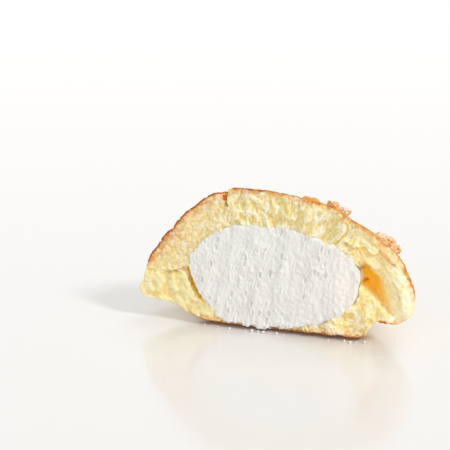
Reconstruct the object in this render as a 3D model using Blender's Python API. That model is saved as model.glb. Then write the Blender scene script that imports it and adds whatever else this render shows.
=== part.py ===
"""Half of a cream-filled castella bun, cut across and standing on its baked base.

The cut face looks towards -Y, +Z is up and the rounded back of the half points to +Y.
Two solids make it: the sponge, with its browned crust, and the whipped cream inside it.
Shapes are written in millimetres about the cut face and scaled to metres as they are made.
"""

import math

import bmesh
import bpy
from mathutils import Vector, noise

MM = 0.001

# Driving sizes, in millimetres
DEPTH = 46.0  # cut face to the furthest point of the back
CUT_TO_WIDEST = 20.0  # the bun was widest this far in front of the cut
CENTRE_X, CENTRE_Z = -2.0, 22.0  # middle of the cut face, about which the section shrinks
BACK_CENTRE_Z = 16.0  # height of the rearmost point
FIT_GAP = 0.3  # clear room between the cream and the sponge round it
AHEAD = 8.0  # how far the solids run in front of the cut before they are trimmed to it

# The section at the cut, clockwise from the lifted left-hand tip: (x, z)
SPONGE_OUTLINE = [
    (-60.0, 10.8), (-57.6, 17.5), (-55.9, 24.0), (-51.9, 30.4), (-45.8, 37.6),
    (-38.9, 44.8), (-32.9, 49.8), (-27.0, 53.6), (-22.5, 54.8), (-18.6, 57.2),
    (-8.2, 57.2), (4.6, 56.0), (15.8, 53.9), (25.4, 50.2), (34.5, 45.5),
    (43.2, 39.8), (48.9, 34.4), (52.0, 28.0), (54.8, 20.5), (54.9, 14.2),
    (52.0, 9.0), (47.0, 6.8), (40.6, 7.4), (37.4, 4.4), (35.4, 1.0),
    (31.0, 0.0), (10.0, 0.0), (-10.0, 0.0), (-28.0, 0.0), (-36.5, 2.0),
    (-43.7, 5.6), (-52.0, 6.8), (-58.6, 8.4),
]  # fmt: skip
# The cream's section, which leaves a skin of sponge 1.2 mm thick under it
CREAM_OUTLINE = [
    (-37.2, 22.0), (-35.8, 27.5), (-30.8, 34.0), (-24.0, 38.8), (-15.0, 41.4),
    (-3.0, 41.6), (8.0, 40.4), (18.6, 36.9), (26.4, 33.6), (31.6, 29.0),
    (33.2, 24.4), (31.4, 17.6), (27.4, 11.0), (20.4, 5.6), (10.5, 2.9),
    (0.0, 1.6), (-12.0, 1.5), (-21.6, 2.3), (-28.8, 6.4), (-34.0, 13.6),
]  # fmt: skip
CREAM_CENTRE = (-2.0, 21.0)
CREAM_DEPTH = 33.0

# How finely each surface is drawn
RIM_POINTS = 112
BACK_RINGS = 18
CREAM_POINTS = 64
CREAM_RINGS = 10
CRUMB_CELL = 2.0  # millimetres between points of the torn face
CREAM_CELL = 1.9

# The folds of the right-hand wing run round this point, as the dome does
FOLDS_X, FOLDS_Z, FOLDS_RADIUS = 12.0, 4.0, 36.0

# The base curls up to the cut: behind this reach it lies lower by the drop, up to that height
FOOT_DROP, FOOT_REACH, FOOT_HEIGHT = 1.8, 4.0, 9.0

# Cracks between the plates of the crust
PLATE_SIZE = 16.0
CRACK_SHARE = 0.2
CRACK_DEPTH = 1.5


# ---------------------------------------------------------------- curves and relief


def closed_curve(points, count):
    """count points spaced evenly along a smooth closed curve through the given ones."""
    dense = []
    total = len(points)
    steps = 24
    for i in range(total):
        a, b, c, d = (Vector(points[(i + k) % total]) for k in (-1, 0, 1, 2))
        for s in range(steps):
            t = s / steps
            dense.append(
                0.5 * (2 * b + (c - a) * t + (2 * a - 5 * b + 4 * c - d) * t**2)
                + 0.5 * (3 * b - a - 3 * c + d) * t**3
            )
    along = [0.0]
    for here, there in zip(dense, dense[1:] + dense[:1]):
        along.append(along[-1] + (there - here).length)
    even, k = [], 0
    for i in range(count):
        wanted = along[-1] * i / count
        while along[k + 1] < wanted:
            k += 1
        share = (wanted - along[k]) / (along[k + 1] - along[k])
        even.append(dense[k].lerp(dense[(k + 1) % len(dense)], share))
    return even


def waves(point, length, seed=0.0):
    """Smooth noise from -1 to 1 whose swells are about length millimetres apart."""
    return noise.noise(Vector(point) / length + Vector((seed, -seed, 2 * seed)))


def eased(value, start, end):
    """0 before start, 1 after end, and a smooth step between them."""
    t = min(1.0, max(0.0, (value - start) / (end - start)))
    return t * t * (3 - 2 * t)


def crumb_face(x, z):
    """Depth of the sponge's cut face: cut clean on the left, torn into lumps and then folds."""
    torn = 0.45 + 0.75 * eased(x, -28.0, 6.0)
    wing = eased(x, 28.0, 38.0) * eased(z, 6.0, 14.0)
    lumps = 1.5 * waves((x, 0, 0.8 * z), 9.0, 3.1)
    knobs = 1.3 * waves((x, 0, 0.8 * z), 4.6, 7.7)
    along = math.atan2(z - FOLDS_Z, x - FOLDS_X) * FOLDS_RADIUS
    across = math.hypot(x - FOLDS_X, z - FOLDS_Z)
    folds = 2.4 * waves((0.3 * along, 0, across), 5.5, 2.9)
    return 0.2 - torn * (lumps + knobs) * (1 - 0.7 * wing) - wing * folds


def cream_face(x, z):
    """Depth of the cream's cut face, dragged by the knife into low swells that lean over."""
    lean = math.radians(12)
    across = math.cos(lean) * x - math.sin(lean) * z
    along = math.sin(lean) * x + math.cos(lean) * z
    return -0.2 - 0.6 * waves((across, 0, 0.35 * along), 4.4, 4.4)


def crust_relief(point):
    """Baked crust: broad swells, and plates that have cracked apart as the bun rose."""
    swell = 1.5 * waves(point, 17.0, 1.3) + 0.8 * waves(point, 6.5, 5.9)
    near, next_near = noise.voronoi(Vector(point) / PLATE_SIZE)[0][:2]
    crack = max(0.0, 1 - (next_near - near) / CRACK_SHARE)
    return swell - CRACK_DEPTH * crack


# ---------------------------------------------------------------- closed solids


def object_from(bm, name):
    """Triangulates the bmesh, turns its faces outwards and links it as an object."""
    bmesh.ops.triangulate(bm, faces=bm.faces)
    bmesh.ops.recalc_face_normals(bm, faces=bm.faces)
    mesh = bpy.data.meshes.new(name)
    bm.to_mesh(mesh)
    bm.free()
    obj = bpy.data.objects.new(name, mesh)
    bpy.context.scene.collection.objects.link(obj)
    return obj


def lofted(rings, front, back):
    """A closed bmesh through rings of equal length, with a point before and behind them."""
    bm = bmesh.new()
    made = [[bm.verts.new(Vector(p) * MM) for p in ring] for ring in rings]
    count = len(rings[0])
    for ahead, behind in zip(made, made[1:]):
        for i in range(count):
            j = (i + 1) % count
            bm.faces.new((ahead[i], ahead[j], behind[j], behind[i]))
    for point, ring in ((front, made[0]), (back, made[-1])):
        tip = bm.verts.new(Vector(point) * MM)
        for i in range(count):
            bm.faces.new((tip, ring[i], ring[(i + 1) % count]))
    return bm


def scaled(ring, centre, share, y):
    """The ring drawn in towards its centre and set at depth y."""
    cx, cz = centre
    return [(cx + (x - cx) * share, y, cz + (z - cz) * share) for x, z in ring]


def trimmer(name, depth_at, cell):
    """A block in front of the cut whose far side is the surface y = depth_at(x, z)."""
    low_x, high_x, low_z, high_z = -66.0, 62.0, -6.0, 66.0
    columns, rows = round((high_x - low_x) / cell), round((high_z - low_z) / cell)
    bm = bmesh.new()
    grid = []
    for j in range(rows + 1):
        z = low_z + (high_z - low_z) * j / rows
        line = []
        for i in range(columns + 1):
            x = low_x + (high_x - low_x) * i / columns
            line.append(bm.verts.new(Vector((x, depth_at(x, z), z)) * MM))
        grid.append(line)
    for lower, upper in zip(grid, grid[1:]):
        for i in range(columns):
            bm.faces.new((lower[i], lower[i + 1], upper[i + 1], upper[i]))
    rim = [e for e in bm.edges if e.is_boundary]
    made = bmesh.ops.extrude_edge_only(bm, edges=rim)["geom"]
    outer = [v for v in made if isinstance(v, bmesh.types.BMVert)]
    for vert in outer:
        vert.co.y = -2.0 * AHEAD * MM
    bmesh.ops.contextual_create(bm, geom=[e for e in bm.edges if e.is_boundary])
    return object_from(bm, name)


# ---------------------------------------------------------------- the sponge


def dome_share(y):
    """How much of the section at the cut is left at depth y, by the bun's rounded plan."""
    reach = DEPTH + CUT_TO_WIDEST
    at_cut = math.sqrt(1 - (CUT_TO_WIDEST / reach) ** 2)
    return math.sqrt(max(0.0, 1 - ((y + CUT_TO_WIDEST) / reach) ** 2)) / at_cut


def dome_section(rim, y):
    """The sponge's section at depth y: the dome shrinks evenly, the base stays flat longer."""
    share = dome_share(y)
    flat = min(1.0, 1.08 * max(0.0, 1 - (y / DEPTH) ** 4) ** 0.5)
    middle = CENTRE_Z + (BACK_CENTRE_Z - CENTRE_Z) * y / DEPTH
    ring = []
    for x, z in rim:
        if z >= CENTRE_Z:
            height = middle + (z - CENTRE_Z) * share
        else:
            height = middle * (1 - (1 - z / CENTRE_Z) * flat)
        ring.append((CENTRE_X + (x - CENTRE_X) * share, y, height))
    return ring


def sponge_body():
    """The dome and base before anything is cut away, running on in front of the cut."""
    rim = closed_curve(SPONGE_OUTLINE, RIM_POINTS)
    rings = [scaled(rim, (CENTRE_X, CENTRE_Z), 1.0, -AHEAD)]
    start = math.asin(CUT_TO_WIDEST / (DEPTH + CUT_TO_WIDEST))
    for j in range(BACK_RINGS):
        angle = start + (math.pi / 2 - start) * j / BACK_RINGS
        y = (DEPTH + CUT_TO_WIDEST) * math.sin(angle) - CUT_TO_WIDEST
        rings.append(dome_section(rim, y))
    bm = lofted(rings, (CENTRE_X, -AHEAD, CENTRE_Z), (CENTRE_X, DEPTH, BACK_CENTRE_Z))
    even_out_back(bm)
    press_crust_relief(bm)
    return object_from(bm, "sponge")


def even_out_back(bm):
    """Merges the crowded points round the rearmost one and relaxes what is left."""
    for reach, apart in ((26.0, 1.2), (36.0, 1.9)):
        back = [v for v in bm.verts if v.co.y > reach * MM]
        bmesh.ops.remove_doubles(bm, verts=back, dist=apart * MM)
    back = [v for v in bm.verts if v.co.y > 34.0 * MM and v.co.z > 0.5 * MM]
    for _ in range(6):
        bmesh.ops.smooth_vert(
            bm, verts=back, factor=0.5, use_axis_x=True, use_axis_y=True, use_axis_z=True
        )


def press_crust_relief(bm):
    """Moves the dome's points along their normals by the crust's relief, and drops the base."""
    bm.normal_update()
    moves = []
    for vert in bm.verts:
        point = vert.co / MM
        out = Vector(vert.normal)
        if point.y < 0.01:
            point.y = 0.0
            out.y = 0.0
            out.normalize()
        strength = eased(point.z, 2.0, 12.0) * (0.4 + 0.6 * eased(point.y, 0.0, 6.0))
        moves.append((vert, out * crust_relief(point) * strength * MM))
    for vert, move in moves:
        vert.co += move
        height = max(vert.co.z / MM, 0.0)
        low = 1 - eased(height, 0.0, FOOT_HEIGHT)
        vert.co.z = (height - FOOT_DROP * low * eased(vert.co.y / MM, 0.0, FOOT_REACH)) * MM


# Crags of broken crust on the dome: (x, y, radius, lift of the middle over the dome)
CRAGS = [
    (21.0, 4.0, 2.5, 0.8), (24.8, 4.4, 2.3, 0.3), (39.6, 4.6, 2.3, 0.0), (42.3, 4.4, 2.8, 0.2),
    (45.0, 4.8, 2.5, 0.2), (10.0, 3.4, 2.7, -1.5), (13.2, 3.4, 2.7, -1.3),
]  # fmt: skip


def dome_height(x, y):
    """Height of the smooth dome over a point of the floor."""
    share = dome_share(y)
    at_cut = CENTRE_X + (x - CENTRE_X) / share
    top = SPONGE_OUTLINE[: SPONGE_OUTLINE.index((54.9, 14.2)) + 1]
    for (x0, z0), (x1, z1) in zip(top, top[1:]):
        if x0 <= at_cut <= x1:
            z = z0 + (z1 - z0) * (at_cut - x0) / (x1 - x0)
            return CENTRE_Z + (BACK_CENTRE_Z - CENTRE_Z) * y / DEPTH + (z - CENTRE_Z) * share
    raise ValueError("the point is outside the dome")


def crag(index, x, y, radius, lift):
    """One low knob of broken crust, rough all round and sunk into the dome."""
    middle = Vector((x, y, dome_height(x, y) + lift))
    bm = bmesh.new()
    bmesh.ops.create_icosphere(bm, subdivisions=2, radius=1.0)
    for vert in bm.verts:
        rough = radius * (1 + 0.5 * waves(vert.co, 0.9, 11.0 + index))
        stretched = Vector((1.2 * vert.co.x, 1.1 * vert.co.y, 0.85 * vert.co.z))
        vert.co = (stretched * rough + middle) * MM
    return object_from(bm, f"crag_{index}")


# ---------------------------------------------------------------- what is cut from the sponge

# The hollow between the sponge's right wing, its base and the cream: its mouth and its end.
# Its sides slope in like a funnel's, deepest beside the cream, so the wing rolls into it gently.
HOLLOW_DEPTH, HOLLOW_FLARE = 8.5, 1.2
HOLLOW_MOUTH = [
    (26.0, 10.8), (29.6, 18.0), (31.8, 24.0), (33.4, 28.6), (35.8, 29.8), (38.8, 28.4), (41.6, 25.4),
    (43.6, 21.6), (45.0, 17.6), (46.4, 13.6), (47.2, 10.6), (45.4, 9.8), (42.4, 12.2), (39.4, 14.2),
    (34.6, 12.2),
]  # fmt: skip
HOLLOW_END = [
    (31.2, 20.0), (31.4, 21.6), (32.0, 23.4), (33.0, 24.8), (34.4, 25.2), (35.8, 24.6),
    (36.6, 23.4), (37.0, 22.0), (36.8, 20.8), (36.0, 20.0), (34.8, 19.6), (33.6, 19.4), (32.2, 19.6),
]  # fmt: skip

# The narrow gap down the cream's left side, where the torn sponge has sunk away from it
GAP_DEPTH, GAP_FLARE = 6.0, 1.1
GAP_MOUTH = [
    (-34.0, 22.4), (-37.4, 23.0), (-39.9, 21.8), (-38.3, 17.2), (-36.0, 12.8),
    (-33.0, 8.8), (-30.8, 6.6), (-28.6, 8.6), (-30.4, 12.6), (-33.0, 18.0),
]  # fmt: skip
GAP_END = [(-35.6 + 0.35 * (x + 35.6), 18.0 + 0.35 * (z - 18.0)) for x, z in GAP_MOUTH]

# The seam that runs from the gap to the left-hand tip, between the lid and the base
SEAM_DEPTH, SEAM_FLARE = 3.0, 0.65
SEAM_MOUTH = [(-38.4, 22.4), (-44.0, 20.6), (-50.4, 17.4), (-50.6, 17.0), (-44.2, 19.4), (-38.8, 21.0)]
SEAM_END = [(-38.6, 21.7), (-44.0, 20.1), (-49.0, 17.8), (-49.1, 17.7), (-44.1, 19.9), (-38.7, 21.5)]

# The crease that splits the crust near the top: where it starts, and how it dies away
SPLIT_X, SPLIT_TOP, SPLIT_LENGTH = -22.0, 55.2, 34.0
SPLIT_WIDTH, SPLIT_SINK, SPLIT_LEAN = 1.2, 6.8, 1.2
SPLIT_RINGS = 16


def pocket(name, mouth, end, depth, flare, points, rings=6):
    """A cutter that closes from its mouth at the cut to its end, as a funnel if flare is over 1."""
    mouth, end = closed_curve(mouth, points), closed_curve(end, points)
    stack = [[(x, -AHEAD, z) for x, z in mouth]]
    for k in range(rings + 1):
        share = k / rings
        ring = [a.lerp(b, share) for a, b in zip(mouth, end)]
        stack.append([(x, depth * share**flare, z) for x, z in ring])
    middle = sum((Vector(p) for p in stack[-1]), Vector()) / points
    front, back = (middle.x, -AHEAD, middle.z), (middle.x, depth + 1.0, middle.z)
    return object_from(lofted(stack, front, back), name)


def split_cutter():
    """A wandering wedge, point down, that follows the dome back from the cut."""
    rings = []
    for k in range(SPLIT_RINGS + 1):
        y = -AHEAD + (SPLIT_LENGTH + AHEAD) * k / SPLIT_RINGS
        inside = max(0.0, y)
        share = dome_share(inside)
        middle = CENTRE_Z + (BACK_CENTRE_Z - CENTRE_Z) * inside / DEPTH
        top = middle + (SPLIT_TOP - CENTRE_Z) * share
        left = 1 - eased(inside, 8.0, SPLIT_LENGTH + 4.0)
        wander = 2.0 * math.sin(0.3 * inside) + 1.6 * waves((0, inside, 0), 5.0, 2.2)
        x = CENTRE_X + (SPLIT_X - CENTRE_X) * share + wander
        foot = x + SPLIT_LEAN * left
        half, sink = 0.5 * SPLIT_WIDTH * left, SPLIT_SINK * left
        rings.append([
            (foot + 0.5 * half, y, top - sink), (foot - 0.5 * half, y, top - sink),
            (x - half, y, top - 0.3 * sink), (x - 2.0 * half, y, top + 3.0),
            (x + 2.0 * half, y, top + 3.0), (x + half, y, top - 0.3 * sink),
        ])  # fmt: skip
    first, last = (Vector(r[0]).lerp(Vector(r[3]), 0.5) for r in (rings[0], rings[-1]))
    return object_from(lofted(rings, first, last + Vector((0, 0.5, 0))), "split")


# ---------------------------------------------------------------- the cream


def grown(ring, by):
    """The closed ring moved outwards by that much, square to its own line."""
    count = len(ring)
    moved = []
    for i, here in enumerate(ring):
        run = ring[(i + 1) % count] - ring[i - 1]
        moved.append(here + Vector((-run.y, run.x)).normalized() * by)
    return moved


def cream_body(name, grow=0.0):
    """The cream before its face is cut, or the slightly larger room it takes in the sponge."""
    rim = grown(closed_curve(CREAM_OUTLINE, CREAM_POINTS), grow)
    rings = [scaled(rim, CREAM_CENTRE, 1.0, -AHEAD)]
    for j in range(CREAM_RINGS):
        angle = math.pi / 2 * j / CREAM_RINGS
        y = (CREAM_DEPTH + grow) * math.sin(angle)
        rings.append(scaled(rim, CREAM_CENTRE, math.cos(angle) ** 0.8, y))
    cx, cz = CREAM_CENTRE
    return object_from(lofted(rings, (cx, -AHEAD, cz), (cx, CREAM_DEPTH + grow, cz)), name)


# ---------------------------------------------------------------- joining and finish


def boolean(target, operation, others):
    """Joins the others to the target, or cuts them from it, and removes them."""
    collection = bpy.data.collections.new(operation.lower())
    for other in others:
        for held in other.users_collection:
            held.objects.unlink(other)
        collection.objects.link(other)
        other.hide_render = True
        other.display_type = "WIRE"
    bpy.context.scene.collection.children.link(collection)
    modifier = target.modifiers.new(operation.title(), "BOOLEAN")
    modifier.operation = operation
    modifier.solver = "EXACT"
    modifier.operand_type = "COLLECTION"
    modifier.collection = collection
    graph = bpy.context.evaluated_depsgraph_get()
    target.data = bpy.data.meshes.new_from_object(target.evaluated_get(graph))
    target.modifiers.remove(modifier)
    for other in list(collection.objects):
        bpy.data.objects.remove(other)
    bpy.data.collections.remove(collection)


def tidy(obj):
    """Welds points that a cut left closer than a hair, and makes triangles of every face."""
    bm = bmesh.new()
    bm.from_mesh(obj.data)
    bmesh.ops.remove_doubles(bm, verts=bm.verts, dist=0.02 * MM)
    bmesh.ops.dissolve_degenerate(bm, edges=bm.edges, dist=0.02 * MM)
    bmesh.ops.triangulate(bm, faces=bm.faces)
    bm.to_mesh(obj.data)
    bm.free()


def stand_on_origin(parts):
    """Moves the parts together until the middle of their base is the origin."""
    points = [v.co for part in parts for v in part.data.vertices]
    low = Vector([min(p[k] for p in points) for k in range(3)])
    high = Vector([max(p[k] for p in points) for k in range(3)])
    shift = Vector(((low.x + high.x) / 2, (low.y + high.y) / 2, low.z))
    for part in parts:
        for vert in part.data.vertices:
            vert.co -= shift
    x, y, z = (round(value / MM, 2) for value in shift)
    print(f"the cut face's origin was moved by {-x}, {-y}, {-z} mm")


def finish(obj, colour, roughness):
    """Gives the object a plain material and smooth faces between its real edges."""
    material = bpy.data.materials.new(obj.name)
    material.use_nodes = True
    shader = material.node_tree.nodes["Principled BSDF"]
    shader.inputs["Base Color"].default_value = (*colour, 1.0)
    shader.inputs["Roughness"].default_value = roughness
    shader.inputs["Metallic"].default_value = 0.0
    obj.data.name = obj.name
    obj.data.materials.clear()
    obj.data.materials.append(material)
    obj.data.shade_smooth()
    obj.data.set_sharp_from_angle(angle=math.radians(50))


def main():
    for obj in list(bpy.data.objects):
        bpy.data.objects.remove(obj)
    sponge = sponge_body()
    boolean(sponge, "UNION", [crag(i, *numbers) for i, numbers in enumerate(CRAGS)])
    cutters = [
        cream_body("cream_room", grow=FIT_GAP),
        pocket("right_hollow", HOLLOW_MOUTH, HOLLOW_END, HOLLOW_DEPTH, HOLLOW_FLARE, 30, 7),
        pocket("left_gap", GAP_MOUTH, GAP_END, GAP_DEPTH, GAP_FLARE, 20, 4),
        pocket("seam", SEAM_MOUTH, SEAM_END, SEAM_DEPTH, SEAM_FLARE, 18, 3),
        split_cutter(),
        trimmer("torn_face", crumb_face, CRUMB_CELL),
    ]
    for cutter in cutters:
        boolean(sponge, "DIFFERENCE", [cutter])
    cream = cream_body("cream")
    boolean(cream, "DIFFERENCE", [trimmer("dragged_face", cream_face, CREAM_CELL)])
    tidy(sponge)
    tidy(cream)
    stand_on_origin([sponge, cream])
    finish(sponge, (0.80, 0.60, 0.28), 0.85)
    finish(cream, (0.86, 0.84, 0.80), 0.5)


main()
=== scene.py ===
# %% [markdown]
# # Half of a cream-filled castella bun
#
# A castella bun is a sponge baked as a low dome, filled with whipped cream and dusted with fine
# sugar. This one has been cut across, so we look into pale torn crumb, a thin browned crust and a
# thick core of cream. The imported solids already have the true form. This lesson gives them the
# things that make them food: pores, torn lumps, a baked skin, drag marks and loose crumbs.

# %% Load the frame
import math

import bpy
import numpy as np
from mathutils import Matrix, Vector, noise
from mathutils.bvhtree import BVHTree


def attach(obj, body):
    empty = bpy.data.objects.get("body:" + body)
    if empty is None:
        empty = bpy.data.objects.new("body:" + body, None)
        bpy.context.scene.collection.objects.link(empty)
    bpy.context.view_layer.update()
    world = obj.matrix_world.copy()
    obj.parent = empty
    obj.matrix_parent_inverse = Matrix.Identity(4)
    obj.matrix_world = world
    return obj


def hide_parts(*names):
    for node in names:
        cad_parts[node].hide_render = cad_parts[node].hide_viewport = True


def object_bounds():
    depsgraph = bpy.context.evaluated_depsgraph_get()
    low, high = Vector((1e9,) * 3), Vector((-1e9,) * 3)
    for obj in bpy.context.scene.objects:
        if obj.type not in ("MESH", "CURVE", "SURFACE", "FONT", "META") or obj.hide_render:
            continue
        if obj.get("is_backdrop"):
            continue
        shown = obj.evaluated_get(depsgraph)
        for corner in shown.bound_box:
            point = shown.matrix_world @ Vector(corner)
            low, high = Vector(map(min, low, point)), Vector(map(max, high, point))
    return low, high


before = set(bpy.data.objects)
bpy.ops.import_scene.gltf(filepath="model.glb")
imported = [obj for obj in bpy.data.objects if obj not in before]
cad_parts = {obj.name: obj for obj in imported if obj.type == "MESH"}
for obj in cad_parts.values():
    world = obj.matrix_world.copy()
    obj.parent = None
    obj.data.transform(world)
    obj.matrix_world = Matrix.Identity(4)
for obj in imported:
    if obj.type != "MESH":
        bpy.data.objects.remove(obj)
cad_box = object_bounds()
MM = 0.001
print("nodes:", sorted(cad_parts), "box in mm:", [round(v / MM, 1) for v in cad_box[1] - cad_box[0]])

# %% [markdown]
# ## Where the cut is
#
# The solids were drawn about a point on the cut face and then moved, so that the middle of their
# base is the origin. Every place below is easier to say from the cut: how far right, how far
# behind the knife, how high above the cut's lower edge, which curls a little off the table. One
# vector takes us from there to the frame.

# %% Places measured from the cut
CUT = Vector((2.47, -22.05, 1.8)) * MM
TABLE = -CUT.z / MM


def from_cut(x, y, z):
    """A point given in millimetres right of, behind and above the middle of the cut's foot."""
    return CUT + Vector((x, y, z)) * MM


print("the cut face lies at y =", round(CUT.y / MM, 2), "mm, and the table", TABLE, "mm below its foot")

# %% [markdown]
# ## The camera
#
# Food is photographed from a little above with a long lens, which keeps the far edge nearly as
# large as the near one. This one looks down by 15 degrees and in from 19 degrees to the right of
# the cut, so the right-hand wing of sponge comes towards us and the left-hand tip falls away.

# %% Set up the camera
EYE = (128.05, -435.78, 162.04)  # mm from the cut
DOWN, ROUND = 14.7, 19.0  # degrees


def new_object(name, data):
    """An object with that data, linked into the scene."""
    made = bpy.data.objects.new(name, data)
    bpy.context.scene.collection.objects.link(made)
    return made


lens = bpy.data.cameras.new("long_lens")
lens.sensor_width = 36.0
lens.lens = 96.0
lens.clip_start, lens.clip_end = 0.02, 20.0
camera = new_object("camera", lens)
camera.location = from_cut(*EYE)
camera.rotation_euler = (math.radians(90 - DOWN), 0.0, math.radians(ROUND))
bpy.context.scene.camera = camera
print("camera stands", round((camera.location - CUT).length, 3), "m from the cut")

# %% [markdown]
# ## Two small helpers
#
# Colours are written as the hex values that a picture editor shows. Blender mixes light, so it
# wants linear values, and one function converts them. Node trees get long, so another one adds a
# node, sets its options, joins its inputs and hands back an output that feeds the next node.


# %% Helpers for colour and node trees
def hex_colour(code):
    """Linear RGBA from an sRGB hex code such as "F2DFAE"."""
    srgb = [int(code[k : k + 2], 16) / 255 for k in (0, 2, 4)]
    return (*(c / 12.92 if c <= 0.04045 else ((c + 0.055) / 1.055) ** 2.4 for c in srgb), 1.0)


def add(tree, kind, inputs=(), out=0, **settings):
    """Adds a node, sets its options, fills or links its inputs and returns one output."""
    node = tree.nodes.new(kind)
    for name, value in settings.items():
        setattr(node, name, value)
    for key, value in dict(inputs).items():
        if isinstance(value, bpy.types.NodeSocket):
            tree.links.new(value, node.inputs[key])
        else:
            node.inputs[key].default_value = value
    return node.outputs[out]


print("sponge yellow in linear light:", [round(c, 3) for c in hex_colour("F2DFAE")])

# %% [markdown]
# ## The table and the walls
#
# The cake stands on a plain pale table with a soft shine. The walls give a dim fill, but the table
# mirrors them as white: a Light Path node tells rays that bounced off something glossy from rays
# that light the cake.

# %% Build the table and the walls
FLOOR_SIZE = 6.0
FLOOR_GAP = 0.02 * MM
WALLS, MIRRORED_WALLS = 0.58, 1.12


def new_material(name, settings):
    """A material and its shader, with those colours and numbers on the shader's own sockets."""
    material = bpy.data.materials.new(name)
    material.use_nodes = True
    shader = material.node_tree.nodes["Principled BSDF"]
    for socket, value in settings.items():
        shader.inputs[socket].default_value = value
    return material, shader


def pale_floor():
    """A wide white table top just under the cake."""
    half = FLOOR_SIZE / 2
    corners = [(-half, -half, 0), (half, -half, 0), (half, half, 0), (-half, half, 0)]
    mesh = bpy.data.meshes.new("table_top")
    mesh.from_pydata(corners, [], [(0, 1, 2, 3)])
    satin = {"Base Color": hex_colour("F0EEEB"), "Roughness": 0.16, "IOR": 1.7}
    mesh.materials.append(new_material("satin_white_table", satin)[0])
    floor = new_object("table_top", mesh)
    floor.location.z = -FLOOR_GAP
    floor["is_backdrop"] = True


def white_walls():
    """A world that lights the cake dimly and shows white in the table's shine."""
    world = bpy.data.worlds.new("white_walls")
    world.use_nodes = True
    tree = world.node_tree
    path = add(tree, "ShaderNodeLightPath", out="Is Diffuse Ray")
    strength = add(
        tree, "ShaderNodeMapRange", {"Value": path, "To Min": MIRRORED_WALLS, "To Max": WALLS}
    )
    tree.links.new(strength, tree.nodes["Background"].inputs["Strength"])
    tree.nodes["Background"].inputs["Color"].default_value = hex_colour("FFFFFF")
    bpy.context.scene.world = world


pale_floor()
white_walls()
bpy.context.scene.view_settings.view_transform = "Standard"
print("the table is", FLOOR_SIZE, "m wide, and the walls are", bpy.context.scene.world.name)

# %% [markdown]
# ## The light
#
# The main light comes from high on the right and grazes the cut, so each pore and each drag mark
# gets a lit and a shaded side. A second one from above and behind edges the crust, and a weak one
# comes from the front. Each is a sun lamp with a wide disc, which gives the soft shadows of a
# large soft box but lights the whole table evenly. A gold card beside the camera throws a little
# warm light into the torn hollow, as food photographers do.

# %% Set up the lamps
LAMPS = {  # where the light comes from, its strength, and the width of its disc in degrees
    "grazing_lamp": ((0.75, -0.28, 0.60), 1.30, 12),
    "back_lamp": ((0.20, 0.40, 0.90), 0.45, 30),
    "front_lamp": ((0.10, -0.90, 0.42), 0.50, 40),
}
HOLLOW = (39, 3, 21)  # mm from the cut
CARD_SIDE, CARD_AWAY, CARD_WIDE = (0.20, -0.93, 0.20), 0.30, 0.02
CARD_POWER, CARD_CONE = 2.0, 4.6


def soft_lamp(name, towards, strength, disc):
    """A sun lamp that shines from that direction, with a disc that many degrees wide."""
    light = bpy.data.lights.new(name, "SUN")
    light.energy = strength
    light.angle = math.radians(disc)
    lamp = new_object(name, light)
    lamp.location = Vector(towards).normalized()
    lamp.rotation_euler = (-Vector(towards)).to_track_quat("-Z", "Y").to_euler()


def gold_card(name, middle):
    """A warm spot that narrows to the middle, with edges as soft as a card's."""
    light = bpy.data.lights.new(name, "SPOT")
    light.energy = CARD_POWER
    light.color = hex_colour("FFDDA0")[:3]
    light.spot_size = math.radians(CARD_CONE)
    light.spot_blend = 1.0
    light.shadow_soft_size = CARD_WIDE
    lamp = new_object(name, light)
    side = Vector(CARD_SIDE).normalized()
    lamp.location = middle + side * CARD_AWAY
    lamp.rotation_euler = (-side).to_track_quat("-Z", "Y").to_euler()


for name, (towards, strength, disc) in LAMPS.items():
    soft_lamp(name, towards, strength, disc)
gold_card("hollow_card", from_cut(*HOLLOW))

# %% [markdown]
# ## An even skin of points
#
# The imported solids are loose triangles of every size. Pores a millimetre wide need points closer
# than that everywhere, so each solid is copied, its doubled points are merged, and a voxel remesh
# lays an even net over it. The cut edge softens by about the size of a voxel, as torn cake does.

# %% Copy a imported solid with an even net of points
VOXEL, DOUBLED = 0.26 * MM, 0.005 * MM


def evaluated(piece):
    """Turns the result of the object's modifiers into its plain mesh."""
    graph = bpy.context.evaluated_depsgraph_get()
    made = bpy.data.meshes.new_from_object(piece.evaluated_get(graph))
    piece.modifiers.clear()
    old = piece.data
    piece.data = made
    bpy.data.meshes.remove(old)
    made.name = piece.name
    return piece


def finely_netted(node, name):
    """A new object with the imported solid's shape and evenly spaced points."""
    piece = new_object(name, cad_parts[node].data.copy())
    piece.data.materials.clear()
    weld = piece.modifiers.new("weld", "WELD")
    weld.merge_threshold = DOUBLED
    net = piece.modifiers.new("net", "REMESH")
    net.mode = "VOXEL"
    net.voxel_size = VOXEL
    return evaluated(piece)


sponge = finely_netted("sponge", "torn_sponge")
cream = finely_netted("cream", "dragged_cream")
print("points: sponge", len(sponge.data.vertices), "cream", len(cream.data.vertices))

# %% [markdown]
# ## Numbers that the points carry
#
# Geometry Nodes and the materials both need to know what they work on. numpy computes one number
# for each point, such as how deep in the crumb it lies, and it is stored under a name as an
# attribute of the mesh, where both can read it.


# %% Read and store numbers of the points
def rows_of(items, name):
    """Three numbers for each item of a mesh, such as the place of each point."""
    rows = np.empty(len(items) * 3)
    items.foreach_get(name, rows)
    return rows.reshape(-1, 3)


def points_of(mesh):
    """The mesh's points in millimetres from the cut, and their normals."""
    return (rows_of(mesh.vertices, "co") - np.array(CUT)) / MM, rows_of(mesh.vertex_normals, "vector")


def move_points(mesh, spot):
    """Puts the mesh's points at places given in millimetres from the cut."""
    mesh.vertices.foreach_set("co", (spot * MM + np.array(CUT)).ravel())
    mesh.update()


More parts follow.
